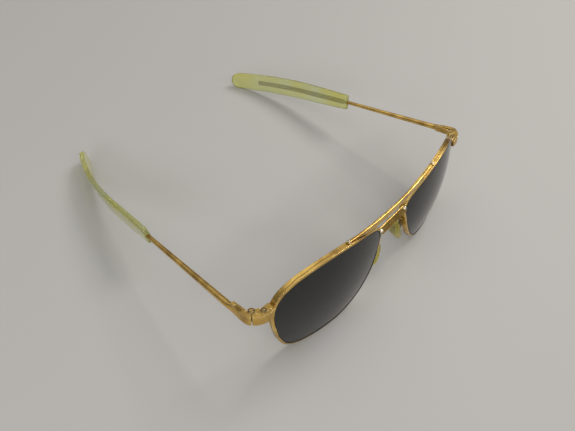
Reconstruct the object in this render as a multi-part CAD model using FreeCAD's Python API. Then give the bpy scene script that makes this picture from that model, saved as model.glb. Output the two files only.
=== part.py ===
"""Aviator sunglasses with a double bridge, standing open on their rims and temple tips.

Frame: +Z up, the lenses face -Y, +X is the wearer's left. The origin is the bottom centre of
the whole object's box. Millimetres and degrees. Every paired piece is built once, on the
wearer's left, and mirrored.

Three local frames are used:
  front  - x sideways, y backwards, z up along the front, origin between the lens centres
  temple - origin on the hinge pin, y along the temple, z up
  hinge  - the temple frame with its z axis laid along the hinge pin
"""
import FreeCAD, Part
import math
import os

Vector = FreeCAD.Vector
Placement = FreeCAD.Placement
Rotation = FreeCAD.Rotation
X_AXIS = Vector(1, 0, 0)
Y_AXIS = Vector(0, 1, 0)
Z_AXIS = Vector(0, 0, 1)
HERE = Vector(0, 0, 0)

# ---- driving dimensions -------------------------------------------------------------------
# Lenses and rims
LENS_WIDTH = 54.6
LENS_HEIGHT = 40.3
LENS_GAP = 19.8                # between the two lenses
LENS_THICKNESS = 2.0
LENS_RADIUS = 88.0             # front surface, a 6-base curve
WRAP = 7.7                     # each lens turned back at its outer end
BEVEL_HEIGHT = 0.35            # ridge round the lens edge that sits in the rim's groove
BEVEL_WIDTH = 0.8
RIM_THICKNESS = 0.95           # across the wire, outwards from the lens
RIM_DEPTH = 2.2                # front to back
RIM_SPLIT = 0.14               # saw cut where the rim opens to let the lens in
GROOVE_CLEARANCE = 0.03
FRONT_LEAN = 6.4               # the front leans back by this much when it stands

# Control points of the lens outline, as shares of its half width (outwards) and half height
LENS_POLES = [
    (0.94, -0.47), (1.04, 0.57), (0.61, 0.98), (-0.18, 1.02), (-1.06, 0.70),
    (-0.93, 0.08), (-0.74, -0.48), (-0.35, -1.00), (0.18, -1.00), (0.70, -0.95),
]
OUTLINE_SAMPLES = 80

# Brow bar and bridge
BROW_LENGTH = 60.3
BROW_DEPTH = 1.1
BROW_HEIGHT = 2.8
BROW_BOW = 2.1                 # the bar's middle lies this far ahead of its ends
BROW_BEHIND_RIM = 0.3          # bar's rear face behind the middle of the lens's top edge
BROW_ABOVE_LENS = 0.65
BRIDGE_WIDTH = 2.9
BRIDGE_THICKNESS = 1.0
BRIDGE_TILT = 45.0             # broad face looks up and forwards
BRIDGE_AHEAD_OF_RIM = 0.8     # strap's middle ahead of the middle of the lens's edge
BRIDGE_HEIGHT_SHARE = 0.53     # of the lens's half height, above its centre
EDGE_ROUNDING = 0.3

# Hinge and end piece, in the hinge frame
PIN_BACK_OF_RIM = 3.25         # pin behind the middle of the lens's outer end
PIN_OUT_OF_RIM = 6.25          # pin outside the rim
PIN_HEIGHT = 10.8              # above the lens centre, in the front frame
PIN_LEAN = 8.0                 # top of the pin leans towards the nose
BLOCK_HEIGHT = 3.6             # end piece, rim lock and hinge all share it
BARREL_RADIUS = 1.45
BARREL_SHARE = 1.4             # height of the middle barrel
KNUCKLE_GAP = 0.05
BARREL_CLEARANCE = 0.15        # round the barrels
STRAP_THICKNESS = 1.0          # end piece beside the rim lock
BAR_THICKNESS = 1.55           # temple bar outside the barrels
BUTT_ANGLE = 50.0              # the butt joint's plane through the pin, forwards of sideways
BUTT_OPENING = 6.0             # angle left open between the two butt faces
BEND_BULGE = 1.1               # end piece bulges outside the bar's circle in its bend
SEAT_ANGLE = 194.0             # end of the barrels' seat, round the pin
LOCK_WALL = 0.3                # end piece beyond the rim lock's room
LOCK_OUT_OF_PIN = -3.05        # rim lock screw from the hinge pin
LOCK_BACK_OF_PIN = -2.75
LOCK_HALF_WIDTH = 1.3
LOCK_GAP = 0.12
PIN_RADIUS = 0.6
PIN_HEAD_RADIUS = 0.98
LOCK_SCREW_RADIUS = 0.5
LOCK_HEAD_RADIUS = 0.82
HEAD_HEIGHT = 0.5
HEAD_CLEARANCE = 0.06
SLOT_WIDTH = 0.3
SLOT_DEPTH = 0.28
THREAD_CLEARANCE = 0.02
RUNNING_CLEARANCE = 0.05

# Temple, in the temple frame
TEMPLE_TO_TIP = 60.5           # pin to the tip's front end
WIRE_TOE_IN = 3.8
WIRE_RADIUS_HINGE = 1.3
WIRE_RADIUS_TIP = 0.9
BAR_LENGTH = 2.5               # flat bar behind the pin
BAR_TO_WIRE = 7.5              # the bar turns into round wire over this length
LEAF_THICKNESS = 1.0
LEAF_LENGTH = 6.4
LEAF_HEIGHT = 2.8
LEAF_INTO_BAR = 0.6            # brazed overlap with the bar
TIP_LENGTH = 80.2
TIP_STRAIGHT = 26.0            # before the tip starts to curve in
TIP_CURVE = 23.0               # total turn towards the head
TIP_THICKNESS = 2.5
TIP_FRONT_HEIGHT = 7.8
TIP_MIDDLE_HEIGHT = 9.9
TIP_REAR_HEIGHT = 9.0
TIP_ROUNDING = 0.8
TIP_LEAN = 8.0                # the paddle's top leans outwards
CORE_START = 2.0
CORE_LENGTH = 62.0
CORE_THICKNESS = 0.8
CORE_HEIGHT = 2.4
CORE_CLEARANCE = 0.04

# Nose pads, in the front frame
PAD_LENGTH = 14.6
PAD_WIDTH = 7.8
PAD_THICKNESS = 2.3
PAD_INSIDE_RIM = 2.9           # pad's back from the rim's nose side, towards the nose
PAD_BEHIND_RIM = 3.1
PAD_HEIGHT = -3.0              # pad's middle, from the lens centre
PAD_OUTLINE = [                # shares of its half width (to the rear) and half length
    (0, 1.0), (0.72, 0.72), (1.0, -0.15), (0.62, -0.80),
    (0, -1.0), (-0.80, -0.66), (-1.0, 0), (-0.66, 0.80),
]
PAD_FLARE = 15.0               # lower ends further apart
PAD_SPLAY = 12.0               # rear edges further apart
PAD_DOME_RADIUS = 14.0
INSERT_LENGTH = 5.0
INSERT_WIDTH = 2.6
INSERT_THICKNESS = 0.5
TONGUE_THICKNESS = 0.9
TONGUE_RADIUS = 0.85
PAD_PIN_OUT = 1.35             # pad screw outside the pad's back
PAD_PIN_RADIUS = 0.35
PAD_PIN_HEAD_RADIUS = 0.6
PAD_PIN_HEAD_HEIGHT = 0.4
BOX_WALL = 0.55
BOX_HALF_HEIGHT = 1.05
BOX_CLEARANCE = 0.08
BOX_OFF_PAD = 0.4
PAD_ARM_RADIUS = 0.5
PAD_ARM_ROOT_HEIGHT = 4.0      # where the arm is brazed to the rim, above the lens centre
PAD_ARM_OFF_RIM = 0.8          # share of its radius that the arm's root stands off the rim
PAD_ARM_REACH_BACK = 3.0       # the arm's bend behind the box's level

SHELL_MARGIN = 20.0            # cutting shapes run this far past what they cut


# ---- small helpers ------------------------------------------------------------------------
def turned(shape, axis, angle, centre=HERE):
    copy = shape.copy()
    copy.rotate(centre, axis, angle)
    return copy


def shifted(shape, offset):
    copy = shape.copy()
    copy.translate(offset)
    return copy


def placed(shape, placement):
    copy = shape.copy()
    copy.Placement = placement.multiply(copy.Placement)
    return copy


def mirrored(shape):
    return shape.mirror(HERE, X_AXIS)


def box(low, high):
    size = high.sub(low)
    return Part.makeBox(size.x, size.y, size.z, low)


def rod(radius, low, high, x=0.0, y=0.0):
    """Upright cylinder from height low to height high."""
    return Part.makeCylinder(radius, high - low, Vector(x, y, low))


def slab(edges, low, high):
    """Closed plan outline, given as edges, made solid between two heights."""
    face = Part.Face(Part.Wire(Part.__sortEdges__(edges)))
    return shifted(face, Vector(0, 0, low)).extrude(Vector(0, 0, high - low))


def polygon(points):
    return Part.makePolygon(points + [points[0]]).Edges


def line(start, end):
    return Part.LineSegment(start, end).toShape()


def arc(start, middle, end):
    return Part.Arc(start, middle, end).toShape()


def polar(radius, angle):
    """Plan point at an angle from +X towards +Y."""
    return Vector(radius * math.cos(math.radians(angle)), radius * math.sin(math.radians(angle)), 0)


def only_solid(shape):
    return max(shape.Solids, key=lambda solid: solid.Volume)


# ---- derived places -----------------------------------------------------------------------
LENS_CENTRE_X = (LENS_WIDTH + LENS_GAP) / 2
LENS_CENTRE_Y = LENS_CENTRE_X * math.tan(math.radians(WRAP))
LENS_PLACE = Placement(Vector(LENS_CENTRE_X, LENS_CENTRE_Y, 0), Rotation(Z_AXIS, WRAP))
BLOCK_HALF = BLOCK_HEIGHT / 2
BARREL_HALF = BARREL_SHARE / 2
BORE_ROOM = BARREL_RADIUS + BARREL_CLEARANCE
BAR_INSIDE = BORE_ROOM
BAR_OUTSIDE = BORE_ROOM + BAR_THICKNESS


# ---- lens and rim -------------------------------------------------------------------------
def lens_outline(offset):
    """Closed outline of the lens in its own frame, moved outwards by offset."""
    poles = [Vector(u * LENS_WIDTH / 2, 0, v * LENS_HEIGHT / 2) for u, v in LENS_POLES]
    curve = Part.BSplineCurve()
    curve.buildFromPoles(poles, True, 2)
    span = curve.LastParameter - curve.FirstParameter
    points = []
    for index in range(OUTLINE_SAMPLES):
        at = curve.FirstParameter + span * index / OUTLINE_SAMPLES
        outwards = Y_AXIS.cross(curve.tangent(at)[0])
        if outwards.dot(curve.value(at)) < 0:
            outwards = outwards.negative()
        points.append(curve.value(at).add(outwards.multiply(offset)))
    moved = Part.BSplineCurve()
    moved.interpolate(points, PeriodicFlag=True)
    return moved


def lens_prism(offset):
    wire = Part.Wire([lens_outline(offset).toShape()])
    face = Part.Face(wire)
    return shifted(face, Vector(0, -SHELL_MARGIN, 0)).extrude(Vector(0, 2 * SHELL_MARGIN, 0))


def lens_shell(front, back):
    """Space between two spheres that lie front and back behind the lens's front surface."""
    centre = Vector(0, LENS_RADIUS, 0)
    return Part.makeSphere(LENS_RADIUS - front, centre).cut(
        Part.makeSphere(LENS_RADIUS - back, centre))


def lens_body(clearance=0.0):
    """The lens with its edge ridge; clearance grows the ridge, for the rim's groove."""
    middle = LENS_THICKNESS / 2
    half = BEVEL_WIDTH / 2 + clearance
    plate = lens_prism(0).common(lens_shell(0, LENS_THICKNESS))
    ridge = lens_prism(BEVEL_HEIGHT + clearance).common(lens_shell(middle - half, middle + half))
    return plate.fuse(ridge).removeSplitter()


def make_lens():
    return placed(lens_body(), LENS_PLACE)


def rim_disc():
    """The rim and all that it surrounds, as one curved plate."""
    front = (LENS_THICKNESS - RIM_DEPTH) / 2
    return lens_prism(RIM_THICKNESS).common(lens_shell(front, front + RIM_DEPTH))


def make_rim(disc):
    ring = disc.cut(lens_prism(GROOVE_CLEARANCE))
    middle = LENS_THICKNESS / 2
    half = BEVEL_WIDTH / 2 + GROOVE_CLEARANCE
    groove = lens_prism(BEVEL_HEIGHT + GROOVE_CLEARANCE).common(
        lens_shell(middle - half, middle + half))
    return placed(only_solid(ring.cut(groove)), LENS_PLACE)


def make_envelope():
    """All the space inside the rim's outer wall, which no brazed piece may enter."""
    return placed(lens_prism(RIM_THICKNESS), LENS_PLACE)


def beside_rim(height, offset, side):
    """Point in the front frame beside the lens: at a height above the lens centre, offset
    outside the lens's outline, on its outer (side 1) or nose (side -1) half, level with the
    middle of the lens's thickness."""
    curve = lens_outline(offset)
    steps = 400
    span = curve.LastParameter - curve.FirstParameter
    points = [curve.value(curve.FirstParameter + span * index / steps) for index in range(steps)]
    best = min((point for point in points if point.x * side > 0),
               key=lambda point: abs(point.z - height))
    sag = (best.x ** 2 + best.z ** 2) / (2 * LENS_RADIUS)
    return LENS_PLACE.multVec(Vector(best.x, sag + LENS_THICKNESS / 2, best.z))


# ---- brow bar and bridge ------------------------------------------------------------------
def make_brow_bar(envelopes):
    rear = beside_rim(LENS_HEIGHT / 2, 0, -1).y + BROW_BEHIND_RIM
    top = LENS_HEIGHT / 2 + BROW_ABOVE_LENS
    half = BROW_LENGTH / 2
    front = rear - BROW_DEPTH
    edges = [
        arc(Vector(-half, rear, 0), Vector(0, rear - BROW_BOW, 0), Vector(half, rear, 0)),
        line(Vector(half, rear, 0), Vector(half, front, 0)),
        arc(Vector(half, front, 0), Vector(0, front - BROW_BOW, 0), Vector(-half, front, 0)),
        line(Vector(-half, front, 0), Vector(-half, rear, 0)),
    ]
    bar = slab(edges, top - BROW_HEIGHT, top)
    bar = bar.makeFillet(EDGE_ROUNDING, bar.Edges)
    return only_solid(bar.cut(envelopes))


def make_bridge(envelopes):
    reach = LENS_GAP / 2 + RIM_THICKNESS
    strap = box(Vector(-reach, -BRIDGE_WIDTH / 2, -BRIDGE_THICKNESS / 2),
                Vector(reach, BRIDGE_WIDTH / 2, BRIDGE_THICKNESS / 2))
    long_edges = [edge for edge in strap.Edges if edge.Length > 2 * reach - 1e-6]
    strap = strap.makeFillet(EDGE_ROUNDING, long_edges)
    strap = turned(strap, X_AXIS, BRIDGE_TILT)
    height = BRIDGE_HEIGHT_SHARE * LENS_HEIGHT / 2
    beside = beside_rim(height, RIM_THICKNESS, -1)
    strap = shifted(strap, Vector(0, beside.y - BRIDGE_AHEAD_OF_RIM, height))
    return only_solid(strap.cut(envelopes))


# ---- screws -------------------------------------------------------------------------------
def slotted_screw(radius, head_radius, low, top, slot_angle):
    """Upright screw with its head's top at top and its shank's end at low."""
    screw = rod(radius, low, top - HEAD_HEIGHT / 2)
    screw = screw.fuse(rod(head_radius, top - HEAD_HEIGHT, top))
    slot = box(Vector(-head_radius - 1, -SLOT_WIDTH / 2, top - SLOT_DEPTH),
               Vector(head_radius + 1, SLOT_WIDTH / 2, top + 1))
    return screw.cut(turned(slot, Z_AXIS, slot_angle)).removeSplitter()


def screw_room(radius, head_radius, low, top):
    """What a slotted screw's hole and counterbore take away."""
    hole = rod(radius, low, top + 1)
    return hole.fuse(rod(head_radius + HEAD_CLEARANCE, top - HEAD_HEIGHT, top + 1))


# ---- end piece, rim lock and hinge, in the hinge frame --------------------------------------
def lock_block(grow, low, high):
    """Block that carries the rim lock screw, with a round outer end."""
    half = LOCK_HALF_WIDTH + grow
    inner = LOCK_OUT_OF_PIN - PIN_OUT_OF_RIM
    centre = Vector(LOCK_OUT_OF_PIN, LOCK_BACK_OF_PIN, 0)
    edges = [
        arc(centre.add(Vector(0, -half, 0)), centre.add(Vector(half, 0, 0)),
            centre.add(Vector(0, half, 0))),
        line(centre.add(Vector(0, half, 0)), Vector(inner, centre.y + half, 0)),
        line(Vector(inner, centre.y + half, 0), Vector(inner, centre.y - half, 0)),
        line(Vector(inner, centre.y - half, 0), centre.add(Vector(0, -half, 0))),
    ]
    return slab(edges, low, high)


def lock_room(radius):
    room = screw_room(radius, LOCK_HEAD_RADIUS, -BLOCK_HALF - 1, BLOCK_HALF)
    return shifted(room, Vector(LOCK_OUT_OF_PIN, LOCK_BACK_OF_PIN, 0))


def make_lock_halves():
    split = RIM_SPLIT / 2
    upper = lock_block(0, split, BLOCK_HALF).cut(lock_room(LOCK_SCREW_RADIUS + RUNNING_CLEARANCE))
    thread = rod(LOCK_SCREW_RADIUS + THREAD_CLEARANCE, -BLOCK_HEIGHT, BLOCK_HEIGHT,
                 LOCK_OUT_OF_PIN, LOCK_BACK_OF_PIN)
    lower = lock_block(0, -BLOCK_HALF, -split).cut(thread)
    return upper, lower


def make_lock_screw():
    screw = slotted_screw(LOCK_SCREW_RADIUS, LOCK_HEAD_RADIUS, -BLOCK_HALF, BLOCK_HALF, 60)
    return shifted(screw, Vector(LOCK_OUT_OF_PIN, LOCK_BACK_OF_PIN, 0))


def make_hinge_screw():
    return slotted_screw(PIN_RADIUS, PIN_HEAD_RADIUS, -BLOCK_HALF, BLOCK_HALF, 35)


def make_front_knuckles():
    """Upper and lower barrels, each with the web by which it is brazed to the end piece."""
    web_angle = 180 + BUTT_ANGLE + 2
    web_half = BARREL_RADIUS * 0.7
    knuckles = []
    for low, high in ((BARREL_HALF + KNUCKLE_GAP, BLOCK_HALF),
                      (-BLOCK_HALF, -BARREL_HALF - KNUCKLE_GAP)):
        barrel = rod(BARREL_RADIUS, low, high)
        web = box(Vector(0, -web_half, low),
                  Vector(BORE_ROOM + STRAP_THICKNESS / 2, web_half, high))
        knuckle = barrel.fuse(turned(web, Z_AXIS, web_angle))
        room = screw_room(PIN_RADIUS + THREAD_CLEARANCE, PIN_HEAD_RADIUS, -BLOCK_HEIGHT,
                          BLOCK_HALF)
        knuckles.append(knuckle.cut(room).removeSplitter())
    return knuckles


def make_endpiece(knuckles):
    """Strap from the rim round the rim lock to the butt joint, with the hinge's seat."""
    butt = -BUTT_ANGLE
    strap_inside = LOCK_BACK_OF_PIN - LOCK_HALF_WIDTH - LOCK_GAP
    strap_outside = strap_inside - STRAP_THICKNESS
    rim_side = -PIN_OUT_OF_RIM - 1.5
    bend = Vector(LOCK_OUT_OF_PIN, strap_outside, 0)
    room_half = LOCK_HALF_WIDTH + LOCK_GAP
    seat = Vector(LOCK_OUT_OF_PIN, LOCK_BACK_OF_PIN + room_half + LOCK_WALL, 0)
    edges = [
        line(Vector(rim_side, strap_inside, 0), Vector(rim_side, strap_outside, 0)),
        line(Vector(rim_side, strap_outside, 0), bend),
        arc(bend, polar(BAR_OUTSIDE + BEND_BULGE, 270), polar(BAR_OUTSIDE, butt)),
        line(polar(BAR_OUTSIDE, butt), polar(BORE_ROOM, butt)),
        arc(polar(BORE_ROOM, butt), polar(BORE_ROOM, 270), polar(BORE_ROOM, SEAT_ANGLE)),
        line(polar(BORE_ROOM, SEAT_ANGLE), seat),
        line(seat, Vector(LOCK_OUT_OF_PIN, strap_inside, 0)),
        line(Vector(LOCK_OUT_OF_PIN, strap_inside, 0), Vector(rim_side, strap_inside, 0)),
    ]
    piece = slab(edges, -BLOCK_HALF, BLOCK_HALF)
    piece = piece.cut(lock_block(LOCK_GAP, -BLOCK_HEIGHT, BLOCK_HEIGHT))
    for knuckle in knuckles:
        piece = piece.cut(knuckle)
    return only_solid(piece)


# ---- temple -------------------------------------------------------------------------------
def wire_axis_start():
    return Vector((BAR_INSIDE + BAR_OUTSIDE) / 2, BAR_LENGTH, 0)


def wire_direction():
    return Vector(-math.sin(math.radians(WIRE_TOE_IN)), math.cos(math.radians(WIRE_TOE_IN)), 0)


def tip_start():
    start = wire_axis_start()
    run = (TEMPLE_TO_TIP - start.y) / wire_direction().y
    return start.add(wire_direction().multiply(run))


def along_tip(distance, aside):
    """Plan point on the tip's centre line, or aside of it towards the outside."""
    start = tip_start()
    way = wire_direction()
    straight = min(distance, TIP_STRAIGHT)
    point = start.add(Vector(way.x, way.y, 0).multiply(straight))
    bend_length = TIP_LENGTH - TIP_STRAIGHT
    radius = bend_length / math.radians(TIP_CURVE)
    angle = max(0.0, distance - TIP_STRAIGHT) / radius
    outwards = Vector(way.y, -way.x, 0)
    centre = point.sub(Vector(outwards.x, outwards.y, 0).multiply(radius))
    turn = math.radians(WIRE_TOE_IN) + angle
    radial = Vector(math.cos(turn), math.sin(turn), 0)
    return centre.add(radial.multiply(radius + aside))


def tip_band(from_distance, to_distance, half_thickness, half_height):
    """Curved plate that follows the tip's centre line, of even thickness and great height."""
    sides = []
    for aside in (half_thickness, -half_thickness):
        straight_end = max(from_distance, TIP_STRAIGHT)
        middle = (straight_end + to_distance) / 2
        pieces = [arc(along_tip(straight_end, aside), along_tip(middle, aside),
                      along_tip(to_distance, aside))]
        if from_distance < TIP_STRAIGHT:
            pieces.append(line(along_tip(from_distance, aside), along_tip(TIP_STRAIGHT, aside)))
        sides += pieces
    for distance in (from_distance, to_distance):
        sides.append(line(along_tip(distance, half_thickness),
                          along_tip(distance, -half_thickness)))
    return slab(sides, -half_height, half_height)


def side_profile(outline_edges, reach):
    """Side view outline in the YZ plane, made solid across the whole width."""
    face = Part.Face(Part.Wire(Part.__sortEdges__(outline_edges)))
    return shifted(face, Vector(-reach, 0, 0)).extrude(Vector(2 * reach, 0, 0))


def tip_body():
    front = along_tip(0, 0).y - 1
    end = along_tip(TIP_LENGTH, 0).y
    rear_radius = TIP_REAR_HEIGHT / 2
    rear_centre = end - rear_radius
    middle = (front + rear_centre) / 2
    front_half = TIP_FRONT_HEIGHT / 2
    middle_half = TIP_MIDDLE_HEIGHT / 2
    outline = [
        line(Vector(0, front, -front_half), Vector(0, front, front_half)),
        arc(Vector(0, front, front_half), Vector(0, middle, middle_half),
            Vector(0, rear_centre, rear_radius)),
        arc(Vector(0, rear_centre, rear_radius), Vector(0, end, 0),
            Vector(0, rear_centre, -rear_radius)),
        arc(Vector(0, rear_centre, -rear_radius), Vector(0, middle, -middle_half),
            Vector(0, front, -front_half)),
    ]
    band = tip_band(0, TIP_LENGTH + 1, TIP_THICKNESS / 2, TIP_MIDDLE_HEIGHT)
    body = only_solid(band.common(side_profile(outline, 2 * TIP_LENGTH)))
    return body.makeFillet(TIP_ROUNDING, body.Edges)


def temple_core(grow):
    """The wire's thin end inside the tip: a little round wire, then a flat strip."""
    start = tip_start()
    way = wire_direction()
    round_part = Part.makeCylinder(WIRE_RADIUS_TIP + grow, CORE_START + 1.0, start, way)
    flat = tip_band(CORE_START, CORE_LENGTH + grow, CORE_THICKNESS / 2 + grow,
                    CORE_HEIGHT / 2 + grow)
    return round_part.fuse(flat).removeSplitter()


def tip_lean(shape):
    """Turns a paddle about the line between its ends so that its top leans outwards."""
    start = tip_start()
    return turned(shape, along_tip(TIP_LENGTH, 0).sub(start), TIP_LEAN, start)


def make_tip():
    return tip_lean(only_solid(tip_body().cut(temple_core(CORE_CLEARANCE))))


def make_wire(hinge_turn):
    """Bar at the butt joint, turning into a tapered round wire with its core in the tip."""
    butt = BUTT_OPENING - BUTT_ANGLE
    edges = [
        arc(polar(BAR_OUTSIDE, butt), polar(BAR_OUTSIDE, butt / 2), polar(BAR_OUTSIDE, 0)),
        line(polar(BAR_OUTSIDE, 0), Vector(BAR_OUTSIDE, BAR_LENGTH, 0)),
        line(Vector(BAR_OUTSIDE, BAR_LENGTH, 0), Vector(BAR_INSIDE, BAR_LENGTH, 0)),
        line(Vector(BAR_INSIDE, BAR_LENGTH, 0), polar(BAR_INSIDE, 0)),
        arc(polar(BAR_INSIDE, 0), polar(BAR_INSIDE, butt / 2), polar(BAR_INSIDE, butt)),
        line(polar(BAR_INSIDE, butt), polar(BAR_OUTSIDE, butt)),
    ]
    bar = turned(slab(edges, -BLOCK_HALF, BLOCK_HALF), Y_AXIS, hinge_turn)
    start = wire_axis_start()
    way = wire_direction()
    wire_from = start.add(Vector(way.x, way.y, 0).multiply(BAR_TO_WIRE))
    root = polygon([Vector(BAR_INSIDE, BAR_LENGTH, -BLOCK_HALF),
                    Vector(BAR_OUTSIDE, BAR_LENGTH, -BLOCK_HALF),
                    Vector(BAR_OUTSIDE, BAR_LENGTH, BLOCK_HALF),
                    Vector(BAR_INSIDE, BAR_LENGTH, BLOCK_HALF)])
    root = turned(Part.Wire(root), Y_AXIS, hinge_turn)
    ring = Part.Wire([Part.makeCircle(WIRE_RADIUS_HINGE, wire_from, way)])
    neck = Part.makeLoft([root, ring], True)
    length = tip_start().sub(wire_from).Length
    taper = Part.makeCone(WIRE_RADIUS_HINGE, WIRE_RADIUS_TIP, length, wire_from, way)
    wire = bar.fuse([neck, taper, tip_lean(temple_core(0))])
    return only_solid(wire)


def make_leaf():
    """Temple's hinge leaf: the middle barrel, its neck and the plate brazed to the bar."""
    barrel = rod(BARREL_RADIUS, -BARREL_HALF, BARREL_HALF)
    inside = BAR_INSIDE - LEAF_THICKNESS
    neck = box(Vector(inside - LEAF_INTO_BAR / 2, 0, -BARREL_HALF),
               Vector(BAR_INSIDE - BARREL_CLEARANCE, BORE_ROOM + LEAF_INTO_BAR, BARREL_HALF))
    plate = box(Vector(inside, BORE_ROOM + RUNNING_CLEARANCE, -LEAF_HEIGHT / 2),
                Vector(BAR_INSIDE + LEAF_INTO_BAR, BORE_ROOM + LEAF_LENGTH, LEAF_HEIGHT / 2))
    leaf = barrel.fuse([neck, plate])
    leaf = leaf.cut(rod(PIN_RADIUS + RUNNING_CLEARANCE, -BLOCK_HEIGHT, BLOCK_HEIGHT))
    return leaf.removeSplitter()


# ---- nose pads, in a frame on the pad's back ------------------------------------------------
def pad_place():
    """Pad frame: x out of the pad's back, y to the rear, z up the pad, in the front frame."""
    beside = beside_rim(PAD_HEIGHT, RIM_THICKNESS, -1)
    centre = Vector(beside.x - PAD_INSIDE_RIM, beside.y + PAD_BEHIND_RIM, PAD_HEIGHT)
    splay = Rotation(Z_AXIS, -PAD_SPLAY)
    flare = Rotation(Y_AXIS, -PAD_FLARE)
    return Placement(centre, splay.multiply(flare))


def make_pad():
    """Drop-shaped pad, domed towards the nose, with a pocket for its insert."""
    half_length = PAD_LENGTH / 2
    half_width = PAD_WIDTH / 2
    corners = [Vector(0, across * half_width, up * half_length) for across, up in PAD_OUTLINE]
    curve = Part.BSplineCurve()
    curve.interpolate(corners, PeriodicFlag=True)
    face = Part.Face(Part.Wire([curve.toShape()]))
    body = shifted(face, Vector(-PAD_THICKNESS, 0, 0)).extrude(Vector(PAD_THICKNESS, 0, 0))
    dome = Part.makeSphere(PAD_DOME_RADIUS, Vector(PAD_DOME_RADIUS - PAD_THICKNESS, 0, 0))
    body = only_solid(body.common(dome))
    back_edges = [edge for edge in body.Edges if edge.BoundBox.XMin > -0.01]
    body = body.makeFillet(EDGE_ROUNDING, back_edges)
    pocket = box(Vector(-INSERT_THICKNESS, -INSERT_WIDTH / 2, -INSERT_LENGTH / 2),
                 Vector(1, INSERT_WIDTH / 2, INSERT_LENGTH / 2))
    return body.cut(pocket)


def make_insert():
    plate = box(Vector(-INSERT_THICKNESS, -INSERT_WIDTH / 2, -INSERT_LENGTH / 2),
                Vector(0, INSERT_WIDTH / 2, INSERT_LENGTH / 2))
    half = TONGUE_THICKNESS / 2
    tongue = box(Vector(-INSERT_THICKNESS / 2, -half, -TONGUE_RADIUS),
                 Vector(PAD_PIN_OUT, half, TONGUE_RADIUS))
    eye = Part.makeCylinder(TONGUE_RADIUS, TONGUE_THICKNESS, Vector(PAD_PIN_OUT, -half, 0), Y_AXIS)
    hole = Part.makeCylinder(PAD_PIN_RADIUS + RUNNING_CLEARANCE, 2 * TONGUE_THICKNESS,
                             Vector(PAD_PIN_OUT, -TONGUE_THICKNESS, 0), Y_AXIS)
    return plate.fuse([tongue, eye]).cut(hole).removeSplitter()


def box_half_width():
    return TONGUE_THICKNESS / 2 + BOX_CLEARANCE + BOX_WALL


def box_back():
    """Outer face of the pad box's back wall, from the pad's back."""
    return PAD_PIN_OUT + TONGUE_RADIUS + 2 * BOX_CLEARANCE + BOX_WALL


def make_pad_box():
    half_width = box_half_width()
    body = box(Vector(BOX_OFF_PAD, -half_width, -BOX_HALF_HEIGHT),
               Vector(box_back(), half_width, BOX_HALF_HEIGHT))
    slot = box(Vector(BOX_OFF_PAD - 1, -half_width + BOX_WALL, -BOX_HALF_HEIGHT - 1),
               Vector(box_back() - BOX_WALL, half_width - BOX_WALL, BOX_HALF_HEIGHT + 1))
    hole = Part.makeCylinder(PAD_PIN_RADIUS + THREAD_CLEARANCE, 4 * half_width,
                             Vector(PAD_PIN_OUT, -2 * half_width, 0), Y_AXIS)
    return body.cut(slot).cut(hole)


def make_pad_screw():
    half_width = box_half_width()
    shank = Part.makeCylinder(PAD_PIN_RADIUS, 2 * half_width,
                              Vector(PAD_PIN_OUT, -half_width, 0), Y_AXIS)
    head = Part.makeCylinder(PAD_PIN_HEAD_RADIUS, PAD_PIN_HEAD_HEIGHT,
                             Vector(PAD_PIN_OUT, half_width, 0), Y_AXIS)
    screw = shank.fuse(head)
    for angle in (0, 90):
        slot = box(Vector(-1, half_width + PAD_PIN_HEAD_HEIGHT / 2, -SLOT_WIDTH / 3),
                   Vector(1, half_width + 1, SLOT_WIDTH / 3))
        screw = screw.cut(shifted(turned(slot, Y_AXIS, angle), Vector(PAD_PIN_OUT, 0, 0)))
    return screw.removeSplitter()


def make_pad_arm(disc, pad_box):
    """Bent wire from the rim's nose side, back and round to the pad box."""
    offset = RIM_THICKNESS + PAD_ARM_OFF_RIM * PAD_ARM_RADIUS
    root = beside_rim(PAD_ARM_ROOT_HEIGHT, offset, -1)
    place = pad_place()
    end = place.multVec(Vector(box_back() - BOX_WALL / 2, 0, 0))
    out_of_box = place.Rotation.multVec(X_AXIS)
    near_end = end.add(out_of_box.multiply(PAD_ARM_REACH_BACK / 2))
    behind_root = root.add(Vector(0, PAD_ARM_REACH_BACK, 0))
    points = [root, behind_root, near_end, end]
    curve = Part.BSplineCurve()
    curve.buildFromPoles(points)
    spine = Part.Wire([curve.toShape()])
    start_way = curve.tangent(curve.FirstParameter)[0]
    profile = Part.Wire([Part.makeCircle(PAD_ARM_RADIUS, root, start_way)])
    arm = spine.makePipeShell([profile], True, False)
    return only_solid(arm.cut([placed(disc, LENS_PLACE), pad_box]))


# ---- assembly -----------------------------------------------------------------------------
def temple_drop(pin_height):
    """Angle below level at which the temple's rear end rests on the table."""
    rear_radius = TIP_REAR_HEIGHT / 2
    lean = math.radians(TIP_LEAN)
    rest_height = (TIP_ROUNDING + (rear_radius - TIP_ROUNDING) * math.cos(lean)
                   + (TIP_THICKNESS / 2 - TIP_ROUNDING) * math.sin(lean))
    centre = tip_lean(Part.Vertex(along_tip(TIP_LENGTH - rear_radius, 0))).Point
    reach = math.hypot(centre.y, centre.z)
    return math.degrees(math.asin((pin_height - rest_height) / reach)
                        + math.atan2(centre.z, centre.y))


def make_front(rim, disc, stand):
    """Pieces of the front in the standing frame, wearer's left."""
    pads = pad_place()
    pad_box = make_pad_box()
    arm = make_pad_arm(disc, placed(pad_box, pads))
    return {
        "rim": placed(rim, stand),
        "lens": placed(make_lens(), stand),
        "pad_arm": placed(arm, stand),
        "pad_box": placed(pad_box, stand.multiply(pads)),
        "pad_insert": placed(make_insert(), stand.multiply(pads)),
        "nose_pad": placed(make_pad(), stand.multiply(pads)),
        "pad_screw": placed(make_pad_screw(), stand.multiply(pads)),
    }


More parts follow.
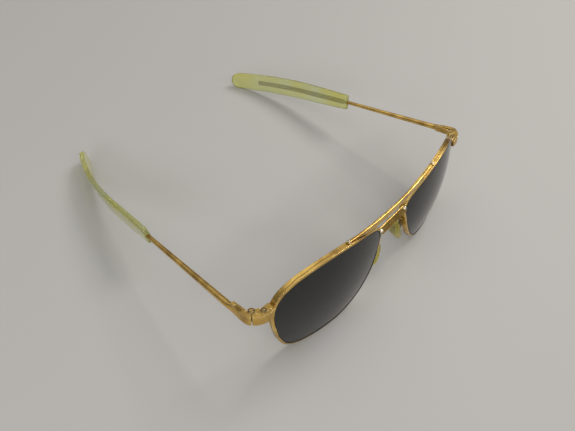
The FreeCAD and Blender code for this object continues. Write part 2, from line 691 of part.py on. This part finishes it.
def make_hinge_side(envelope, hinge_place, temple_place):
    """Rim lock, end piece, hinge and temple in the standing frame, wearer's left."""
    upper_lock, lower_lock = make_lock_halves()
    knuckles = make_front_knuckles()
    wire = placed(make_wire(-PIN_LEAN), temple_place)
    return {
        "rim_lock_upper": only_solid(placed(upper_lock, hinge_place).cut(envelope)),
        "rim_lock_lower": only_solid(placed(lower_lock, hinge_place).cut(envelope)),
        "rim_lock_screw": placed(make_lock_screw(), hinge_place),
        "endpiece": only_solid(placed(make_endpiece(knuckles), hinge_place).cut(envelope)),
        "front_hinge_knuckles": placed(Part.makeCompound(knuckles), hinge_place),
        "hinge_screw": placed(make_hinge_screw(), hinge_place),
        "temple_hinge_leaf": only_solid(placed(make_leaf(), hinge_place).cut(wire)),
        "temple_wire": wire,
        "temple_tip": placed(make_tip(), temple_place),
    }


def main():
    os.makedirs("parts", exist_ok=True)
    disc = rim_disc()
    rim = make_rim(disc)
    envelope = make_envelope()
    lean = Rotation(X_AXIS, -FRONT_LEAN)
    lift = -placed(rim, Placement(HERE, lean)).optimalBoundingBox(True, False).ZMin
    stand = Placement(Vector(0, 0, lift), lean)

    rim_end = beside_rim(PIN_HEIGHT, RIM_THICKNESS, 1)
    pin_in_front = rim_end.add(Vector(PIN_OUT_OF_RIM, PIN_BACK_OF_RIM, 0))
    pin = stand.multVec(pin_in_front)
    drop = temple_drop(pin.z)
    temple_place = Placement(pin, Rotation(X_AXIS, -drop))
    hinge_place = temple_place.multiply(Placement(HERE, Rotation(Y_AXIS, -PIN_LEAN)))

    left = make_front(rim, disc, stand)
    left.update(make_hinge_side(placed(envelope, stand), hinge_place, temple_place))
    saw_cut = box(Vector(-PIN_OUT_OF_RIM - 3 * RIM_THICKNESS, -SHELL_MARGIN, -RIM_SPLIT / 2),
                  Vector(LOCK_OUT_OF_PIN, SHELL_MARGIN, RIM_SPLIT / 2))
    left["rim"] = only_solid(left["rim"].cut(placed(saw_cut, hinge_place)))

    both_envelopes = [envelope, mirrored(envelope)]
    nodes = {
        "brow_bar": placed(make_brow_bar(both_envelopes), stand),
        "bridge": placed(make_bridge(both_envelopes), stand),
    }
    for name, shape in left.items():
        nodes["left_" + name] = shape
        nodes["right_" + name] = mirrored(shape)

    whole = Part.makeCompound(list(nodes.values())).optimalBoundingBox(True, False)
    origin = Vector(0, (whole.YMin + whole.YMax) / 2, whole.ZMin)
    for name, shape in sorted(nodes.items()):
        shifted(shape, origin.negative()).exportStep("parts/%s.step" % name)
        print("%-28s solids %d  valid %s  volume %.2f" % (
            name, len(shape.Solids), shape.isValid(), shape.Volume))

    pads = stand.multiply(pad_place())
    print("box %.3f %.3f %.3f" % (whole.XLength, whole.YLength, whole.ZLength))
    print("front origin at", stand.Base.sub(origin), "temple drop %.3f" % drop)
    print("pin in the front frame", pin_in_front)
    print("left hinge at", pin.sub(origin), "axis", hinge_place.Rotation.multVec(Z_AXIS))
    print("left pad screw at", pads.multVec(Vector(PAD_PIN_OUT, 0, 0)).sub(origin),
          "axis", pads.Rotation.multVec(Y_AXIS))


main()
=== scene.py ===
"""Looks of the sunglasses: worn gold metal, grey glass lenses and yellowed clear plastic.

Lengths are in metres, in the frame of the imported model: +Z up, the lenses face -Y.
"""

import math

import bpy
import bmesh
from mathutils import Matrix, Vector

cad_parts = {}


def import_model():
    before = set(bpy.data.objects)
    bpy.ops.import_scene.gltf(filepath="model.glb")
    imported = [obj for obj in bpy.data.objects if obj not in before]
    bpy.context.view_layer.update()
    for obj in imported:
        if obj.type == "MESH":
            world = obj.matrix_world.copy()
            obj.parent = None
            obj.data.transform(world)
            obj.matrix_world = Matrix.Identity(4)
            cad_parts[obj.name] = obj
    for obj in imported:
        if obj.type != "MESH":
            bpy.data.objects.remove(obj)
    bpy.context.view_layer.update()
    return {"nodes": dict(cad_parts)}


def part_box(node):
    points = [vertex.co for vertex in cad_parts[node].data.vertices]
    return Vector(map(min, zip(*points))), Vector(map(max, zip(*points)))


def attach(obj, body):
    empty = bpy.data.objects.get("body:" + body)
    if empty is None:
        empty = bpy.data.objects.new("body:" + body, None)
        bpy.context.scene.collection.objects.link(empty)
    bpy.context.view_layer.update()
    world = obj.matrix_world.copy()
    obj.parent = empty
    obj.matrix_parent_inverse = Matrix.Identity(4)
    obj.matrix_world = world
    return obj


MM = 0.001
SIDES = ("left", "right")

# Camera: where it looks, from how far, and at what angles
VIEW_TARGET = Vector((-16.6, -31.1, 15.0)) * MM
VIEW_DISTANCE = 207.5 * MM
VIEW_AZIMUTH = -53.54          # degrees from the front, towards the wearer's right
VIEW_ELEVATION = 48.29
VIEW_ROLL = 6.73
SENSOR_WIDTH = 36.0            # mm
FOCAL_LENGTH = 29.2            # mm

FLOOR_SIZE = 3.0
FLOOR_DROP = 0.05 * MM
FLOOR_COLOUR = (0.43, 0.42, 0.405, 1)
WORLD_LOW = (0.10, 0.09, 0.08, 1)        # below the horizon
WORLD_TOP = (0.45, 0.47, 0.50, 1)        # straight up
WORLD_BANDS = ((0.50, 0.30), (0.56, 0.85), (0.62, 0.20), (0.70, 0.60), (0.90, 1.0))

# Metals: plain, tarnished and worn colours
GOLD = ((0.83, 0.54, 0.13), (0.44, 0.25, 0.05), (1.0, 0.88, 0.56))
SCREW_GOLD = ((0.80, 0.52, 0.16), (0.42, 0.25, 0.07), (1.0, 0.88, 0.56))
LINE_GOLD = ((0.30, 0.17, 0.03), (0.16, 0.09, 0.02), (0.6, 0.4, 0.12))
# near-white solder: real solder lumps, coloured pale as painted highlight
SOLDER_HIGHLIGHT = ((0.94, 0.88, 0.70), (0.80, 0.66, 0.40), (1.0, 0.97, 0.9))
PAD_MOUNT = ((0.24, 0.25, 0.17), (0.15, 0.15, 0.09), (0.6, 0.56, 0.4))
# near-black for narrow gaps: painted shade, also standing for grime
SHADE_AND_GRIME_COLOUR = (0.06, 0.04, 0.02)
# dark brown on the wire core within the plastic tip: painted shade
CORE_SHADE_COLOUR = (0.16, 0.12, 0.05)

# Plastics: clear, yellowed and edge colours
TIP_COLOURS = ((0.82, 0.86, 0.50), (0.82, 0.80, 0.26), (0.80, 0.66, 0.02))
PAD_COLOURS = ((0.82, 0.78, 0.24), (0.70, 0.58, 0.08), (0.74, 0.56, 0.03))
PLASTIC_CLARITY = 0.75

METAL_WEAR_RADIUS = 0.12 * MM
# reach of the painted shade and grime in gaps
METAL_SHADE_AND_GRIME_REACH = 0.5 * MM
PLASTIC_EDGE_RADIUS = 0.9 * MM
CORE_FADE = 3 * MM                       # how far the gold runs on into the tip

# New pieces
# near-black tube round each lens: painted shade between lens and rim
SEAM_RADIUS = 0.22 * MM
RIM_LINE_RADIUS = 0.14 * MM
RING_RADIUS = 0.16 * MM                  # painted shade: dark ring in the gap round a screw head
RING_OUTSIDE_HEAD = 0.07 * MM
RING_BELOW_TOP = 0.04 * MM
# lift of the dark slot layer: grime and painted shade
SLOT_SHADE_AND_GRIME_LIFT = 0.12 * MM
BEAD_OFFSET = Vector((0, -0.15, 0.15)) * MM
BEADS = (("brow_bar", (0.42, 0.95, 1.35), 0.2 * MM, 0.6),      # size in mm, end depth, turn
         ("bridge", (1.05, 0.85, 1.15), 0.5 * MM, 1.9))
LENS_STEPS, LENS_SLICE, LENS_EDGE_DEPTH = 96, 1.0 * MM, 0.9 * MM
RIM_STEPS, RIM_SLICE, RIM_FACE_DEPTH = 120, 1.2 * MM, 0.35 * MM


# ---- stage ------------------------------------------------------------------------------------
def make_camera():
    azimuth = math.radians(VIEW_AZIMUTH)
    elevation = math.radians(VIEW_ELEVATION)
    roll = math.radians(VIEW_ROLL)
    back = Vector((math.sin(azimuth) * math.cos(elevation),
                   -math.cos(azimuth) * math.cos(elevation),
                   math.sin(elevation)))
    level_right = Vector((math.cos(azimuth), math.sin(azimuth), 0))
    level_up = back.cross(level_right)
    right = level_right * math.cos(roll) + level_up * math.sin(roll)
    up = level_up * math.cos(roll) - level_right * math.sin(roll)
    camera = bpy.data.objects.new("camera", bpy.data.cameras.new("camera"))
    camera.data.sensor_width = SENSOR_WIDTH
    camera.data.lens = FOCAL_LENGTH
    camera.data.clip_start = 0.01
    axes = Matrix((right, up, back)).transposed().to_4x4()
    camera.matrix_world = Matrix.Translation(VIEW_TARGET + back * VIEW_DISTANCE) @ axes
    bpy.context.scene.collection.objects.link(camera)
    bpy.context.scene.camera = camera
    bpy.context.scene.view_settings.view_transform = "Standard"     # keeps the gold saturated


def make_area_light(name, place, target, size, power, colour):
    light = bpy.data.lights.new(name, "AREA")
    light.shape = "RECTANGLE"
    light.size, light.size_y = size
    light.energy = power
    light.color = colour
    lamp = bpy.data.objects.new(name, light)
    lamp.location = place
    lamp.rotation_euler = (Vector(target) - Vector(place)).to_track_quat("-Z", "Y").to_euler()
    bpy.context.scene.collection.objects.link(lamp)


def make_lights():
    centre = (0, 0, 0.01)
    make_area_light("key_light", (0.85, -0.05, 0.95), centre, (0.6, 0.5), 7.0, (1.0, 0.97, 0.92))
    make_area_light("side_light", (-0.75, -0.35, 0.35), centre, (0.5, 0.2), 2.2, (0.9, 0.95, 1.0))
    make_area_light("front_light", (-0.2, -0.9, 0.7), centre, (0.5, 0.12), 1.6, (1.0, 0.98, 0.95))


def make_world():
    """Soft studio surroundings: bands of light and shade for the metal to reflect."""
    world = bpy.data.worlds.new("studio")
    world.use_nodes = True
    nodes, links = world.node_tree.nodes, world.node_tree.links
    nodes.clear()
    place = nodes.new("ShaderNodeTexCoord")
    split = nodes.new("ShaderNodeSeparateXYZ")
    shades = nodes.new("ShaderNodeValToRGB")
    background = nodes.new("ShaderNodeBackground")
    output = nodes.new("ShaderNodeOutputWorld")
    stops = shades.color_ramp
    stops.elements[0].position = 0.0
    stops.elements[0].color = WORLD_LOW
    stops.elements[1].position = 1.0
    stops.elements[1].color = WORLD_TOP
    for position, shade in WORLD_BANDS:
        stop = stops.elements.new(position)
        stop.color = (shade, shade * 0.98, shade * 0.95, 1)
    links.new(place.outputs["Generated"], split.inputs[0])
    links.new(split.outputs["Z"], shades.inputs[0])
    links.new(shades.outputs[0], background.inputs["Color"])
    links.new(background.outputs[0], output.inputs["Surface"])
    background.inputs["Strength"].default_value = 1.0
    bpy.context.scene.world = world


def make_floor():
    mesh = bpy.data.meshes.new("floor")
    half = FLOOR_SIZE / 2
    mesh.from_pydata([(-half, -half, 0), (half, -half, 0), (half, half, 0), (-half, half, 0)],
                     [], [(0, 1, 2, 3)])
    floor = bpy.data.objects.new("floor", mesh)
    floor.location.z = -FLOOR_DROP
    bpy.context.scene.collection.objects.link(floor)
    material, _, _, shader = new_material("pale_floor")
    shader.inputs["Base Color"].default_value = FLOOR_COLOUR
    shader.inputs["Roughness"].default_value = 0.6
    floor.data.materials.append(material)


# ---- materials --------------------------------------------------------------------------------
def new_material(name):
    material = bpy.data.materials.new(name)
    material.use_nodes = True
    nodes, links = material.node_tree.nodes, material.node_tree.links
    return material, nodes, links, nodes["Principled BSDF"]


def noise(nodes, links, scale, detail=3.0, stretch=None):
    """Noise over the object's own coordinates; scale is in features per metre."""
    place = nodes.new("ShaderNodeTexCoord")
    texture = nodes.new("ShaderNodeTexNoise")
    texture.inputs["Scale"].default_value = scale
    texture.inputs["Detail"].default_value = detail
    source = place.outputs["Object"]
    if stretch:
        mapping = nodes.new("ShaderNodeMapping")
        mapping.inputs["Scale"].default_value = stretch
        links.new(source, mapping.inputs["Vector"])
        source = mapping.outputs["Vector"]
    links.new(source, texture.inputs["Vector"])
    return texture.outputs["Fac"]


def ramp(nodes, links, factor, stops):
    node = nodes.new("ShaderNodeValToRGB")
    elements = node.color_ramp.elements
    elements[0].position, elements[0].color = stops[0][0], (*stops[0][1], 1)
    elements[1].position, elements[1].color = stops[-1][0], (*stops[-1][1], 1)
    for position, colour in stops[1:-1]:
        elements.new(position).color = (*colour, 1)
    links.new(factor, node.inputs[0])
    return node.outputs[0]


def span(nodes, links, factor, from_range, to_range):
    node = nodes.new("ShaderNodeMapRange")
    node.inputs["From Min"].default_value, node.inputs["From Max"].default_value = from_range
    node.inputs["To Min"].default_value, node.inputs["To Max"].default_value = to_range
    links.new(factor, node.inputs["Value"])
    return node.outputs["Result"]


def blended(nodes, links, factor, first, second):
    """Mix of two colours by a socket; first and second are sockets or colours."""
    node = nodes.new("ShaderNodeMix")
    node.data_type = "RGBA"
    links.new(factor, node.inputs[0])
    for socket, value in ((node.inputs[6], first), (node.inputs[7], second)):
        if isinstance(value, tuple):
            socket.default_value = (*value, 1)
        else:
            links.new(value, socket)
    return node.outputs[2]


def edge_wear(nodes, links, radius):
    """1 on sharp edges and 0 on flats, with the rounded normal that shows it."""
    bevel = nodes.new("ShaderNodeBevel")
    bevel.samples = 6
    bevel.inputs["Radius"].default_value = radius
    geometry = nodes.new("ShaderNodeNewGeometry")
    dot = nodes.new("ShaderNodeVectorMath")
    dot.operation = "DOT_PRODUCT"
    links.new(bevel.outputs["Normal"], dot.inputs[0])
    links.new(geometry.outputs["True Normal"], dot.inputs[1])
    return span(nodes, links, dot.outputs["Value"], (1.0, 0.82), (0.0, 1.0)), bevel.outputs[0]


def shade_and_grime_mask(nodes, links, distance):
    """Mask for painted shade and grime from ambient occlusion: 1 in the open and 0 in narrow
    gaps.
    """
    occlusion = nodes.new("ShaderNodeAmbientOcclusion")
    occlusion.samples = 8
    occlusion.inputs["Distance"].default_value = distance
    return span(nodes, links, occlusion.outputs["AO"], (0.25, 0.9), (0.0, 1.0))


def metal_material(name, colours, roughness):
    """Plated metal: uneven plating, bright worn edges, gaps darkened by painted shade that also
    stands for grime, fine scratches.
    """
    plain, tarnish, worn = colours
    material, nodes, links, shader = new_material(name)
    wear, rounded = edge_wear(nodes, links, METAL_WEAR_RADIUS)
    patches = ramp(nodes, links, noise(nodes, links, 160.0), ((0.35, plain), (0.68, tarnish)))
    fine = noise(nodes, links, 2500.0, 5.0)
    patches = blended(nodes, links, span(nodes, links, fine, (0.45, 0.8), (0.0, 0.35)),
                      patches, worn)
    coloured = blended(nodes, links, wear, patches, worn)
    # narrow gaps darkened: painted shade, also standing for grime
    coloured = blended(nodes, links, shade_and_grime_mask(nodes, links, METAL_SHADE_AND_GRIME_REACH),
                       SHADE_AND_GRIME_COLOUR, coloured)
    links.new(coloured, shader.inputs["Base Color"])
    shader.inputs["Metallic"].default_value = 1.0
    streaks = noise(nodes, links, 700.0, 4.0, stretch=(1.0, 0.25, 1.0))
    low, high = roughness
    links.new(span(nodes, links, streaks, (0.3, 0.7), (low, high)), shader.inputs["Roughness"])
    bump = nodes.new("ShaderNodeBump")
    bump.inputs["Strength"].default_value = 0.06
    bump.inputs["Distance"].default_value = 0.02 * MM
    links.new(fine, bump.inputs["Height"])
    links.new(rounded, bump.inputs["Normal"])
    links.new(bump.outputs["Normal"], shader.inputs["Normal"])
    return material


def wire_material(core_from, core_to):
    """Gold that turns dark brown along the core within the plastic tip: painted shade, as the
    real wire is gold all along.
    """
    material = metal_material("temple_gold", GOLD, (0.16, 0.32))
    nodes, links = material.node_tree.nodes, material.node_tree.links
    shader = nodes["Principled BSDF"]
    outside = shader.inputs["Base Color"].links[0].from_socket
    place = nodes.new("ShaderNodeTexCoord")
    split = nodes.new("ShaderNodeSeparateXYZ")
    links.new(place.outputs["Object"], split.inputs[0])
    # painted shade: the wire darkens where it runs into the tip
    core_shade = span(nodes, links, split.outputs["Y"], (core_from, core_to), (0.0, 1.0))
    links.new(blended(nodes, links, core_shade, outside, CORE_SHADE_COLOUR),
              shader.inputs["Base Color"])
    return material


def lens_material():
    """Grey glass, dark enough to hide what is behind it, with faint smears."""
    material, nodes, links, shader = new_material("grey_glass")
    tint = ramp(nodes, links, noise(nodes, links, 25.0),
                ((0.3, (0.010, 0.012, 0.0105)), (0.7, (0.016, 0.018, 0.016))))
    links.new(tint, shader.inputs["Base Color"])
    shader.inputs["Transmission Weight"].default_value = 1.0
    shader.inputs["IOR"].default_value = 1.5
    shader.inputs["Specular IOR Level"].default_value = 0.12       # coated glass
    smears = noise(nodes, links, 60.0, 5.0, stretch=(1.0, 1.0, 0.4))
    links.new(span(nodes, links, smears, (0.4, 0.75), (0.01, 0.05)), shader.inputs["Roughness"])
    return material


def plastic_material(name, colours, roughness):
    """Clear plastic gone yellow with age, hazier in patches, with hairline scratches."""
    clear, yellowed, edge = colours
    material, nodes, links, shader = new_material(name)
    aged = ramp(nodes, links, noise(nodes, links, 70.0), ((0.35, clear), (0.65, yellowed)))
    near_edge = edge_wear(nodes, links, PLASTIC_EDGE_RADIUS)[0]
    links.new(blended(nodes, links, near_edge, aged, edge), shader.inputs["Base Color"])
    shader.inputs["Transmission Weight"].default_value = PLASTIC_CLARITY
    shader.inputs["IOR"].default_value = 1.49
    shader.inputs["Coat Weight"].default_value = 0.4
    shader.inputs["Coat Roughness"].default_value = 0.06
    haze = noise(nodes, links, 400.0, 4.0, stretch=(1.0, 0.2, 1.0))
    low, high = roughness
    links.new(span(nodes, links, haze, (0.35, 0.7), (low, high)), shader.inputs["Roughness"])
    bump = nodes.new("ShaderNodeBump")
    bump.inputs["Strength"].default_value = 0.05
    bump.inputs["Distance"].default_value = 0.05 * MM
    links.new(haze, bump.inputs["Height"])
    links.new(bump.outputs["Normal"], shader.inputs["Normal"])
    return material


def seam_shade_material():
    """Near-black painted shade: the line between lens and rim and the gaps round screw heads; in
    screw slots it stands for grime as well.
    """
    material, nodes, links, shader = new_material("seam_shade_and_grime")
    shade_and_grime = ramp(nodes, links, noise(nodes, links, 900.0),
                ((0.3, (0.004, 0.004, 0.004)), (0.8, (0.03, 0.025, 0.018))))
    links.new(shade_and_grime, shader.inputs["Base Color"])
    shader.inputs["Roughness"].default_value = 0.6
    return material


# ---- new pieces -------------------------------------------------------------------------------
def add_piece(name, mesh, material, body):
    for polygon in mesh.polygons:
        polygon.use_smooth = True
    piece = bpy.data.objects.new(name, mesh)
    bpy.context.scene.collection.objects.link(piece)
    mesh.materials.append(material)
    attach(piece, body)
    return piece


def tube_mesh(name, path, radius, sides=10):
    """Closed tube round a closed path."""
    mesh_maker = bmesh.new()
    rings = []
    count = len(path)
    for index, point in enumerate(path):
        ahead = (path[(index + 1) % count] - path[index - 1]).normalized()
        across = ahead.cross(Vector((0, 1, 0))).normalized()
        other = ahead.cross(across)
        rings.append([mesh_maker.verts.new(point + radius * (
            across * math.cos(2 * math.pi * side / sides)
            + other * math.sin(2 * math.pi * side / sides))) for side in range(sides)])
    for index in range(count):
        first, second = rings[index], rings[(index + 1) % count]
        for side in range(sides):
            after = (side + 1) % sides
            mesh_maker.faces.new((first[side], first[after], second[after], second[side]))
    bmesh.ops.recalc_face_normals(mesh_maker, faces=mesh_maker.faces)
    mesh = bpy.data.meshes.new(name)
    mesh_maker.to_mesh(mesh)
    mesh_maker.free()
    return mesh


def outer_points(node, steps, half_width, depth):
    """The outermost points of a node, a slice at a time round its middle seen from the front."""
    low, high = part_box(node.name)
    centre = (low + high) / 2
    points = [vertex.co.copy() for vertex in node.data.vertices]
    for step in range(steps):
        angle = 2 * math.pi * step / steps
        way = Vector((math.cos(angle), 0, math.sin(angle)))
        side = Vector((-math.sin(angle), 0, math.cos(angle)))
        near = [p for p in points if abs((p - centre).dot(side)) < half_width
                and (p - centre).dot(way) > 0]
        reach = max((p - centre).dot(way) for p in near)
        yield [p for p in near if (p - centre).dot(way) > reach - depth]


def smoothed(path):
    """A closed path with each point drawn towards its neighbours."""
    count = len(path)
    return [(path[index - 1] + 2 * path[index] + path[(index + 1) % count]) / 4
            for index in range(count)]


def lens_front_edge(lens):
    """Points round the front edge of a lens, in order."""
    slices = outer_points(lens, LENS_STEPS, LENS_SLICE, LENS_EDGE_DEPTH)
    return smoothed([min(outer, key=lambda p: p.y) for outer in slices])


def rim_line(rim):
    """Middle of the outer face of a rim, in order round it."""
    slices = outer_points(rim, RIM_STEPS, RIM_SLICE, RIM_FACE_DEPTH)
    return smoothed([(min(outer, key=lambda p: p.y) + max(outer, key=lambda p: p.y)) / 2
                     for outer in slices])


def head_top(screw):
    """Centre, normal, radius and slot floor of a slotted screw head that faces up."""
    faces = [face for face in screw.data.polygons if face.normal.z > 0.8]
    normal = sum((face.normal * face.area for face in faces), Vector()).normalized()
    level = max(vertex.co.dot(normal) for vertex in screw.data.vertices)
    top = [face for face in faces if face.center.dot(normal) > level - 0.05 * MM]
    floor = [face for face in faces if level - 1.0 * MM < face.center.dot(normal)
             < level - 0.1 * MM]
    centre = sum((face.center * face.area for face in top), Vector())
    centre /= sum(face.area for face in top)
    reach = max((screw.data.vertices[index].co - centre).length
                for face in top for index in face.vertices)
    return centre, normal, reach, floor


def ring_path(centre, normal, radius, steps=32):
    across = normal.orthogonal().normalized()
    other = normal.cross(across)
    return [centre + radius * (across * math.cos(2 * math.pi * step / steps)
                               + other * math.sin(2 * math.pi * step / steps))
            for step in range(steps)]


def slot_mesh(name, screw, floor, normal, lift):
    """Thin dark layer on the floor of a screw slot: grime and painted shade."""
    mesh_maker = bmesh.new()
    made = {}
    for face in floor:
        for index in face.vertices:
            if index not in made:
                place = screw.data.vertices[index].co + normal * lift
                made[index] = mesh_maker.verts.new(place)
        mesh_maker.faces.new([made[index] for index in face.vertices])
    mesh = bpy.data.meshes.new(name)
    mesh_maker.to_mesh(mesh)
    mesh_maker.free()
    return mesh


def bead_mesh(name, centre, size, turn):
    """Small uneven bead of solder: a ball drawn out along its size and lumped by two waves."""
    mesh_maker = bmesh.new()
    bmesh.ops.create_icosphere(mesh_maker, subdivisions=3, radius=1.0)
    for vertex in mesh_maker.verts:
        way = vertex.co.normalized()
        lump = 1 + 0.09 * math.sin(3.1 * way.x + 2.3 * way.z + turn)
        lump += 0.06 * math.sin(5.3 * way.y - 2.9 * way.z + 2 * turn)
        vertex.co = centre + Vector((way.x * size[0], way.y * size[1], way.z * size[2])) * lump
    mesh = bpy.data.meshes.new(name)
    mesh_maker.to_mesh(mesh)
    mesh_maker.free()
    return mesh


def end_centre(node, side_sign, depth):
    """Middle of the end of a cross piece, at the given side."""
    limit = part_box(node.name)[1].x - depth
    found = [vertex.co for vertex in node.data.vertices if vertex.co.x * side_sign > limit]
    return sum(found, Vector()) / len(found)


def finishes():
    """Material of each kind of node; every other node is plain gold."""
    screw = metal_material("screw_gold", SCREW_GOLD, (0.2, 0.4))
    mount = metal_material("pad_mount", PAD_MOUNT, (0.25, 0.45))
    tip_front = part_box("left_temple_tip")[0].y
    return {
        "lens": lens_material(),
        "temple_tip": plastic_material("tip_plastic", TIP_COLOURS, (0.03, 0.14)),
        "nose_pad": plastic_material("pad_plastic", PAD_COLOURS, (0.05, 0.2)),
        "temple_wire": wire_material(tip_front, tip_front + CORE_FADE),
        "hinge_screw": screw, "rim_lock_screw": screw, "pad_screw": screw,
        "pad_insert": mount, "pad_box": mount,
    }


def dress_nodes(nodes):
    gold = metal_material("gold", GOLD, (0.14, 0.30))
    by_kind = finishes()
    for name, node in nodes.items():
        kind = name.split("_", 1)[1] if name.startswith(SIDES) else name
        for slot in node.material_slots:
            slot.material = by_kind.get(kind, gold)


def add_screw_shade_and_grime(screw, seam):
    """The dark ring of painted shade round a screw head, and the grime and painted shade in its
    slot.
    """
    centre, normal, reach, floor = head_top(screw)
    # dark ring in the gap round the head: painted shade
    path = ring_path(centre - normal * RING_BELOW_TOP, normal, reach + RING_OUTSIDE_HEAD)
    ring = tube_mesh(screw.name + "_gap_shade", path, RING_RADIUS)
    add_piece(ring.name, ring, seam, "front")
    if floor:
        shade_and_grime = slot_mesh(screw.name + "_slot_shade_and_grime", screw, floor, normal, SLOT_SHADE_AND_GRIME_LIFT)
        add_piece(shade_and_grime.name, shade_and_grime, seam, "front")


def add_details(nodes):
    seam = seam_shade_material()
    line = metal_material("rim_line", LINE_GOLD, (0.3, 0.5))
    solder_highlight = metal_material("solder_highlight", SOLDER_HIGHLIGHT, (0.12, 0.3))
    for side in SIDES:
        # near-black tube round the lens front: painted shade where the rim's inner lip reads dark
        mesh = tube_mesh(side + "_lens_seam", lens_front_edge(nodes[side + "_lens"]), SEAM_RADIUS)
        add_piece(side + "_lens_seam", mesh, seam, "front")
        mesh = tube_mesh(side + "_rim_line", rim_line(nodes[side + "_rim"]), RIM_LINE_RADIUS)
        add_piece(side + "_rim_line", mesh, line, "front")
        for kind in ("_hinge_screw", "_rim_lock_screw"):
            add_screw_shade_and_grime(nodes[side + kind], seam)
        sign = 1 if side == "left" else -1
        # pale beads at the bar ends: solder lumps coloured as painted highlight
        for kind, size, depth, turn in BEADS:
            centre = end_centre(nodes[kind], sign, depth) + BEAD_OFFSET
            bead = bead_mesh(side + "_" + kind + "_solder", centre,
                             [part * MM for part in size], turn + sign)
            add_piece(bead.name, bead, solder_highlight, "front")


def main():
    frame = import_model()
    make_camera()
    make_lights()
    make_world()
    make_floor()
    dress_nodes(frame["nodes"])
    add_details(frame["nodes"])


main()
